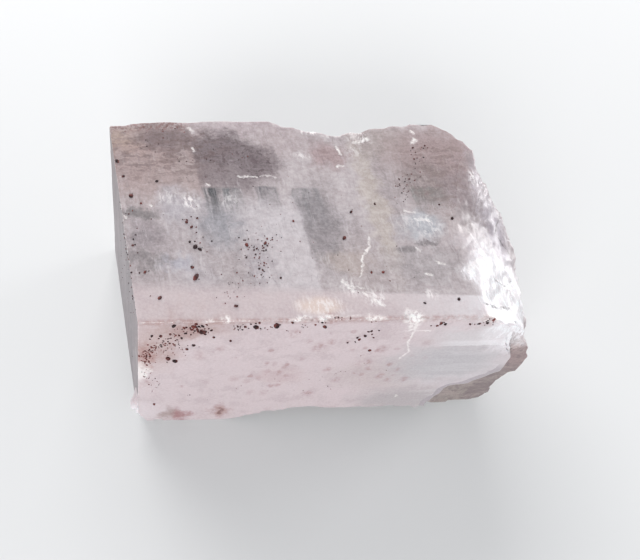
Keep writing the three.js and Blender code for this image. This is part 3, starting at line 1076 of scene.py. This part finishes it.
def magnesite(block_place, patch):
    material = bpy.data.materials.new("Magnesite")
    material.use_nodes = True
    material.node_tree.nodes.clear()
    coats = Coats(material.node_tree, block_place, patch)
    broken, worn, left = (coats.attribute(name) for name in ("Broken", "Worn", "Left"))
    for part_of_the_look in (
        lamellae,
        smoky_patch,
        painted_dark_windows,
        sharp_lamella,
        mottled_corners,
        clouds_and_wisps,
        front_slab,
        flat_layering,
        rusty_stains,
        fan_and_painted_glints,
        bare_layers,
    ):
        part_of_the_look(coats)
    shaded_left_face_and_nub(coats, left, broken)
    shoulder_white_and_glare(coats)
    cracks_bruises_and_glints(coats, worn)
    grain = coats.noise(coats.place, 2.2, detail=4.0, roughness=0.75).outputs[0]
    tone = coats.mix(coats.between(grain, 0.3, 0.7), shade("747070"), shade("b5afb0"))
    coats.colour = coats.mix(0.6, coats.colour, tone, blend="SOFT_LIGHT")

    shader = coats.add("ShaderNodeBsdfPrincipled", {"Base Color": coats.colour})
    roughness = coats.between(broken, 0.0, 1.0, 0.2, 0.42, smooth=False)
    coats.feed(shader.inputs["Roughness"], coats.math("MULTIPLY_ADD", left, 0.3, roughness))
    shader.inputs["IOR"].default_value = 1.6
    shader.inputs["Transmission Weight"].default_value = 0.2
    shader.inputs["Subsurface Weight"].default_value = 0.35
    shader.inputs["Subsurface Radius"].default_value = (1.0, 0.85, 0.85)
    shader.inputs["Subsurface Scale"].default_value = 0.0008
    relief = coats.math("ADD", coats.math("MULTIPLY", coats.streaks, 0.6), coats.math("MULTIPLY", grain, 0.4))
    bump = coats.add("ShaderNodeBump", {"Height": relief, "Distance": 0.00005, "Strength": 0.6})
    coats.feed(shader.inputs["Normal"], bump.outputs[0])
    haze = coats.add("ShaderNodeVolumeAbsorption")
    haze.inputs["Color"].default_value = (0.75, 0.66, 0.66, 1)
    haze.inputs["Density"].default_value = 90.0
    coats.add("ShaderNodeOutputMaterial", {"Surface": shader.outputs[0], "Volume": haze.outputs[0]})
    return material


def iron_stain(block_place, patch):
    """Near-black oxide, rusty red in places, most of all at the left end of the front face."""
    material = bpy.data.materials.new("Iron grains")
    material.use_nodes = True
    build = Tree(material.node_tree)
    shader = material.node_tree.nodes["Principled BSDF"]
    position = build.add("ShaderNodeTexCoord").outputs["Object"]
    place = build.group(block_place, Position=position)["Place"]
    tone = build.noise(place, 0.9, detail=2.0).outputs[0]
    ends = {"Centre": (1.6, 0, 11), "Half_size": (3.5, 3, 6), "Edge": 0.4, "Strength": 0.14}
    rusty = build.group(patch, Place=place, **ends)["Mask"]
    share = build.between(build.math("ADD", tone, rusty), 0.42, 0.66)
    build.feed(shader.inputs["Base Color"], build.mix(share, shade("281517"), shade("6f3833")))
    shader.inputs["Roughness"].default_value = 0.55
    shader.inputs["Specular IOR Level"].default_value = 0.3
    return material


# ---- Iron grains -------------------------------------------------------------------------------

# Swarms of grains: the face, the two ends of the swarm's middle line along the face's two block
# edges, its spread to each side, the number of grains and their smallest and largest radius, all
# in millimetres.
SWARMS = [
    ("front", (1.2, 13), (2.0, 8), 0.9, 64, (0.11, 0.25)),
    ("front", (2.2, 8), (6.5, 4.6), 1.3, 64, (0.11, 0.26)),
    ("front", (5.5, 3.8), (12, 1.8), 1.5, 44, (0.11, 0.27)),
    ("front", (9.2, 1.2), (10.8, 2.4), 0.6, 14, (0.16, 0.32)),
    ("front", (3, 10), (9, 8), 2.4, 30, (0.08, 0.16)),
    ("front", (1.4, 15), (2.8, 22), 1.2, 22, (0.08, 0.15)),
    ("front", (16, 1.7), (19, 1.5), 0.8, 12, (0.11, 0.24)),
    ("front", (19.3, 0.6), (19.8, 1.5), 0.45, 12, (0.18, 0.36)),
    ("front", (20.2, 2.6), (22.4, 2.2), 0.4, 9, (0.09, 0.14)),
    ("front", (23, 0.8), (23.5, 1.4), 0.45, 6, (0.14, 0.3)),
    ("front", (24, 3), (29, 2.4), 1.6, 8, (0.09, 0.15)),
    ("front", (29.2, 0.7), (31, 0.4), 0.5, 7, (0.12, 0.24)),
    ("top", (32.6, 0.3), (35.6, 0.3), 0.3, 9, (0.1, 0.18)),
    ("front", (38.2, 0.8), (40, 0.6), 0.4, 5, (0.11, 0.2)),
    ("front", (49.3, 1.9), (51.8, 1.8), 0.5, 6, (0.11, 0.2)),
    ("front", (55.6, 1.9), (57.4, 1.8), 0.5, 5, (0.1, 0.18)),
    ("front", (58.4, 1.7), (59.4, 0.9), 0.8, 14, (0.1, 0.2)),
    ("front", (3, 26), (20, 24), 6.0, 10, (0.06, 0.1)),
    ("front", (20, 16), (45, 20), 7.0, 20, (0.07, 0.12)),
    ("top", (20.5, 13.5), (24.5, 14.5), 1.6, 40, (0.1, 0.22)),
    ("top", (22.5, 8), (24, 12), 1.4, 24, (0.09, 0.2)),
    ("top", (11.5, 20), (13.8, 13.5), 1.4, 14, (0.1, 0.2)),
    ("top", (15, 6), (22, 9), 2.4, 32, (0.07, 0.13)),
    ("top", (50.4, 23), (53, 28.5), 1.2, 30, (0.09, 0.18)),
    ("top", (54, 28), (57, 35), 1.4, 16, (0.09, 0.18)),
    ("top", (56.4, 34.8), (59, 34.6), 0.6, 6, (0.12, 0.2)),
    ("top", (2, 39.6), (14, 39.6), 0.8, 10, (0.09, 0.16)),
    ("top", (4, 37), (14, 34), 2.2, 12, (0.07, 0.14)),
    ("top", (6, 36), (26, 32), 4.0, 30, (0.06, 0.14)),
    ("top", (0.6, 8), (2.5, 24), 1.0, 16, (0.1, 0.24)),
    ("top", (4, 16), (44, 18), 12.0, 50, (0.06, 0.13)),
    ("left", (2, 2), (24, 1.5), 1.6, 22, (0.08, 0.2)),
    ("left", (3, 8), (30, 20), 8.0, 30, (0.06, 0.14)),
]

# Single grains that stand out on each face: the place and the radius.
LONE_GRAINS = {
    "front": [
        (5.4, 11.2, 0.42), (6.7, 12.1, 0.4), (11.0, 3.0, 0.42), (6.0, 1.0, 0.28), (9.4, 1.3, 0.3),
        (9.7, 0.6, 0.22), (10.8, 1.2, 0.24), (12.4, 2.5, 0.2), (13.0, 4.6, 0.2), (9.7, 7.0, 0.28),
        (8.6, 8.2, 0.26), (2.4, 3.9, 0.24), (3.9, 4.0, 0.24), (5.5, 3.5, 0.2), (7.5, 4.7, 0.2),
        (16.0, 5.8, 0.24), (18.0, 1.6, 0.22), (19.8, 1.7, 0.46), (20.2, 0.5, 0.22),
        (23.2, 1.4, 0.42), (25.7, 0.6, 0.24), (31.4, 2.0, 0.34), (36.5, 7.0, 0.16),
        (37.8, 6.8, 0.15), (37.8, 5.4, 0.17), (38.3, 6.0, 0.22), (39.0, 4.9, 0.24),
        (39.2, 3.7, 0.16), (39.7, 3.5, 0.2), (40.6, 5.5, 0.16), (40.9, 3.3, 0.17),
        (40.1, 4.5, 0.13), (41.1, 9.6, 0.26), (50.4, 2.2, 0.22), (50.8, 1.4, 0.24),
        (51.6, 1.8, 0.24), (57.3, 1.8, 0.22), (55.8, 1.9, 0.2), (59.4, 0.8, 0.2), (58.6, 1.6, 0.22),
        (3.2, 28.4, 0.24),
    ],
    "top": [
        (0.5, 32.6, 0.26), (1.2, 29.2, 0.22), (7.2, 28.0, 0.24), (2.1, 24.9, 0.36),
        (3.7, 23.3, 0.2), (13.2, 20.0, 0.22), (11.2, 19.2, 0.28), (11.9, 18.2, 0.26),
        (11.1, 15.2, 0.24), (11.9, 14.2, 0.36), (12.6, 13.7, 0.28), (20.9, 14.4, 0.3),
        (24.2, 14.7, 0.24), (10.7, 10.2, 0.26), (11.0, 8.3, 0.4), (11.5, 8.7, 0.3),
        (2.5, 9.4, 0.24), (4.3, 4.5, 0.3), (16.8, 2.8, 0.24), (25.4, 7.9, 0.2), (30.1, 19.1, 0.18),
        (38.2, 15.5, 0.34), (40.8, 20.8, 0.22), (45.5, 22.4, 0.18), (41.1, 8.7, 0.22),
        (43.1, 8.7, 0.18), (58.4, 19.2, 0.24), (57.0, 22.1, 0.16), (54.3, 3.4, 0.24),
        (48.4, 2.8, 0.18),
    ],
}

# The form of a grain: its thickness across the face, how knobbly it is and how deep it sinks in,
# each as a share. Then the least and the most that it is stretched along its own three axes.
GRAIN_FORM = {"Flatness": 1.05, "Knobbliness": 0.45, "Sink": 0.4}
LEAST_STRETCH = (0.75, 0.7, 0.8)
MOST_STRETCH = (1.45, 1.0, 1.1)
FULL_TURN = 6.283  # radians
KNOBS_PER_METRE = 5200.0
KNOB_HEIGHT = 0.0005
LONE_SCALE = 1.3  # lone grains are drawn larger than their listed radius by this factor
GRAIN_REACH = 0.8  # millimetres from the planned place to the stone, at most
GRAIN_GAP = 0.85  # distance between two grains as a share of both radii, at least


def grain_spots(surface):
    """Where each grain sits on the stone: its place, the surface's normal and its radius. Grains
    may touch, but none is buried in another."""
    chance = random.Random(41)
    spots = []

    def settle(face, x, y, size):
        guess = {"top": from_block(x, y, 0), "front": from_block(x, 0, y), "left": from_block(0, x, y)}[face]
        place, normal, _, gap = surface.find_nearest(guess)
        if gap > GRAIN_REACH * MM or normal.dot(CLEAVAGE[face][0]) < 0.8:
            return
        if all((place - other).length > GRAIN_GAP * (size + near) for other, _, near in spots):
            spots.append((place, normal, size))

    for face, grains in LONE_GRAINS.items():
        for x, y, size in grains:
            settle(face, x, y, LONE_SCALE * size * MM)
    for face, start, end, spread, count, (small, large) in SWARMS:
        for _ in range(count):
            t = chance.random()
            x = start[0] + (end[0] - start[0]) * t + chance.gauss(0, spread * 0.6)
            y = start[1] + (end[1] - start[1]) * t + chance.gauss(0, spread * 0.6)
            size = small + (large - small) * chance.random() ** 1.8
            settle(face, x, y, size * MM)
    return spots


def grain_tree(material):
    """Turns points with a normal and a radius into small flattened, knobbly grains."""
    tree = bpy.data.node_groups.new("Iron grains", "GeometryNodeTree")
    sizes = {name: ("Float", value) for name, value in GRAIN_FORM.items()}
    inputs = {"Points": ("Geometry", None), **sizes, "Seed": ("Int", 7)}
    add_sockets(tree, inputs, {"Grains": "Geometry"})
    build = Tree(tree)
    given = build.add("NodeGroupInput").outputs
    result = build.add("NodeGroupOutput").inputs

    def first(kind, inputs=None, **settings):
        return build.add(kind, inputs, **settings).outputs[0]

    radius = first("GeometryNodeInputNamedAttribute", {"Name": "radius_m"}, data_type="FLOAT")
    normal = first("GeometryNodeInputNamedAttribute", {"Name": "outward"}, data_type="FLOAT_VECTOR")
    ball = first("GeometryNodeMeshIcoSphere", {"Radius": 1.0, "Subdivisions": 2})

    chance = {"Min": 0.0, "Max": FULL_TURN, "Seed": given["Seed"]}
    angle = build.add("FunctionNodeRandomValue", chance, data_type="FLOAT").outputs["Value"]
    upright = first("FunctionNodeAlignRotationToVector", {"Vector": normal}, axis="Z")
    spin = first("FunctionNodeAxisAngleToRotation", {"Axis": (0, 0, 1), "Angle": angle})
    both = {"Rotation": upright, "Rotate By": spin}
    turn = first("FunctionNodeRotateRotation", both, rotation_space="LOCAL")

    chance = {"Min": LEAST_STRETCH, "Max": MOST_STRETCH, "Seed": given["Seed"]}
    long = build.add("FunctionNodeRandomValue", chance, data_type="FLOAT_VECTOR").outputs["Value"]
    flat = first("ShaderNodeCombineXYZ", {0: 1.0, 1: 1.0, 2: given["Flatness"]})
    size = build.scale(build.vector("MULTIPLY", long, flat), radius)
    depth = build.math("MULTIPLY", radius, build.math("MULTIPLY", given["Sink"], -0.5))
    offset = {"Geometry": given["Points"], "Offset": build.scale(normal, depth)}
    sunk = first("GeometryNodeSetPosition", offset)

    copies = {"Points": sunk, "Instance": ball, "Rotation": turn, "Scale": size}
    lumps = first("GeometryNodeRealizeInstances", {0: first("GeometryNodeInstanceOnPoints", copies)})
    knobs = build.noise(first("GeometryNodeInputPosition"), KNOBS_PER_METRE, detail=1.0).outputs["Color"]
    height = build.math("MULTIPLY", given["Knobbliness"], KNOB_HEIGHT)
    push = build.scale(build.vector("SUBTRACT", knobs, (0.5, 0.5, 0.5)), height)
    knobbly = first("GeometryNodeSetPosition", {"Geometry": lumps, "Offset": push})
    coloured = first("GeometryNodeSetMaterial", {"Geometry": knobbly, "Material": material})
    build.feed(result["Grains"], coloured)
    return tree


def build_grains(stone, material):
    shape = bmesh.new()
    shape.from_mesh(stone.data)
    spots = grain_spots(BVHTree.FromBMesh(shape))
    shape.free()
    points = bpy.data.meshes.new("grain_places")
    points.from_pydata([place for place, _, _ in spots], [], [])
    radius = points.attributes.new("radius_m", "FLOAT", "POINT")
    radius.data.foreach_set("value", [size for _, _, size in spots])
    outward = points.attributes.new("outward", "FLOAT_VECTOR", "POINT")
    outward.data.foreach_set("vector", [part for _, normal, _ in spots for part in normal])
    holder = bpy.data.objects.new("grain_places", points)
    bpy.context.scene.collection.objects.link(holder)
    modifier = holder.modifiers.new("Iron grains", "NODES")
    modifier.node_group = grain_tree(material)
    evaluated = holder.evaluated_get(bpy.context.evaluated_depsgraph_get())
    mesh = bpy.data.meshes.new_from_object(evaluated)
    mesh.name = "iron_grains"
    mesh.materials.clear()
    mesh.materials.append(material)
    bpy.data.objects.remove(holder)
    grains = bpy.data.objects.new("iron_grains", mesh)
    bpy.context.scene.collection.objects.link(grains)
    return grains


# ---- Studio ------------------------------------------------------------------------------------

SENSOR = 36  # millimetres
FOCAL = 595 / 640  # focal length as a share of the frame's width
PAPER = 0.62  # brightness of the floor


def studio():
    world = bpy.data.worlds.new("Studio")
    world.use_nodes = True
    world.node_tree.nodes["Background"].inputs["Color"].default_value = (0.93, 0.96, 1.0, 1)
    world.node_tree.nodes["Background"].inputs["Strength"].default_value = 0.55
    bpy.context.scene.world = world
    bpy.context.scene.view_settings.view_transform = "Standard"

    def softbox(name, at, aim, size, power):
        light = bpy.data.lights.new(name, "AREA")
        light.shape = "RECTANGLE"
        light.size, light.size_y = size
        light.energy = power
        lamp = bpy.data.objects.new(name, light)
        lamp.location = at
        lamp.rotation_euler = (Vector(aim) - Vector(at)).to_track_quat("-Z", "Y").to_euler()
        bpy.context.scene.collection.objects.link(lamp)

    softbox("softbox_back", (-0.12, 0.5, 0.28), (0, 0, 0.02), (0.5, 0.3), 4.0)
    softbox("softbox_right", (0.42, 0.18, 0.08), (0.02, 0, 0.02), (0.16, 0.12), 1.1)
    softbox("softbox_front", (-0.1, -0.5, 0.3), (0, 0, 0.01), (0.5, 0.3), 2.5)

    mesh = bpy.data.meshes.new("floor")
    mesh.from_pydata([(-3, -3, 0), (3, -3, 0), (3, 3, 0), (-3, 3, 0)], [], [(0, 1, 2, 3)])
    floor = bpy.data.objects.new("floor", mesh)
    paper = bpy.data.materials.new("Pale paper")
    paper.use_nodes = True
    paper.node_tree.nodes["Principled BSDF"].inputs["Base Color"].default_value = (PAPER, PAPER, PAPER, 1)
    paper.node_tree.nodes["Principled BSDF"].inputs["Roughness"].default_value = 0.9
    mesh.materials.append(paper)
    bpy.context.scene.collection.objects.link(floor)


def camera():
    """Looks steeply down on the stone from the front."""
    lens = bpy.data.cameras.new("camera")
    lens.sensor_width = SENSOR
    lens.lens = SENSOR * FOCAL
    lens.clip_start = 0.01
    eye = bpy.data.objects.new("camera", lens)
    target = CORNER + Vector((30.25, 7.18, 0)) * MM
    eye.location = CORNER + Vector((29.59, -31.65, 93.54)) * MM
    eye.rotation_euler = (target - eye.location).to_track_quat("-Z", "Y").to_euler()
    bpy.context.scene.collection.objects.link(eye)
    bpy.context.scene.camera = eye


camera()
studio()
stone = build_stone(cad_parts["stone"])
shared = block_place_group(), patch_group()
stone.data.materials.append(magnesite(*shared))
grains = build_grains(stone, iron_stain(*shared))
for piece in (stone, grains):
    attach(piece, "root")
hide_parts("stone")
